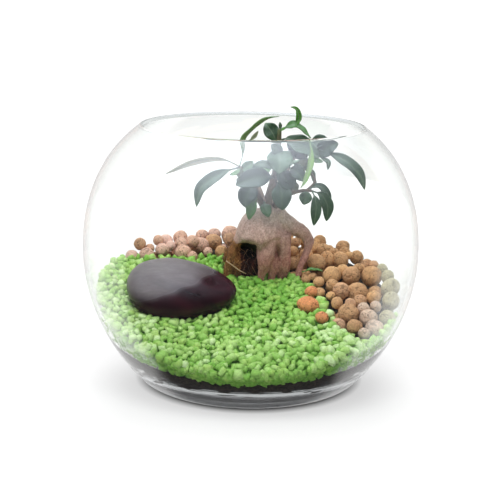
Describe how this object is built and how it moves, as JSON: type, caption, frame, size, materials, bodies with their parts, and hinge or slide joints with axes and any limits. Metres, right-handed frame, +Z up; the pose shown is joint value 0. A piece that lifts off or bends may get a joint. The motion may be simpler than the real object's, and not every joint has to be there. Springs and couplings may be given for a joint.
{
  "type": "glass plant terrarium",
  "caption": "Round open glass bowl planted with a ginseng ficus on swollen roots, over dark soil, green gravel, brown clay pebbles and a smooth black stone.",
  "frame": {"origin": "middle of the bowl's flat base, on the surface it stands on", "axes": "+Z up along the bowl's axis; the pictured side faces -Y; +X to the right of the picture"},
  "size_m": [0.24, 0.24, 0.1971],
  "materials": {
    "clear_glass": "clear blown soda-lime glass, faint grey-green at the edges",
    "soil": "damp peat-based potting soil, matt and crumbly",
    "bark": "smooth grey-beige ficus bark with fine lines",
    "peat": "fibrous brown root ball",
    "black_stone": "polished black pebble",
    "fired_clay": "expanded clay pebbles, matt and finely pitted",
    "green_gravel": "glossy coloured gravel, several greens",
    "leaf": "leathery dark green ficus leaves, satin"
  },
  "bodies": {
    "root": {"glass_bowl": "clear_glass", "potting_soil": "soil", "trunk": "bark", "root_ball": "peat", "black_stone": "black_stone", "clay_pebbles": "fired_clay", "green_gravel": "green_gravel", "loose_pebble_1": "fired_clay", "loose_pebble_2": "fired_clay", "loose_pebble_3": "fired_clay", "fallen_leaf": "leaf", "shoot_leader": "leaf", "shoot_left": "leaf", "shoot_front": "leaf", "shoot_right": "leaf", "shoot_back_left": "leaf", "shoot_back_right": "leaf"}
  },
  "joints": []
}
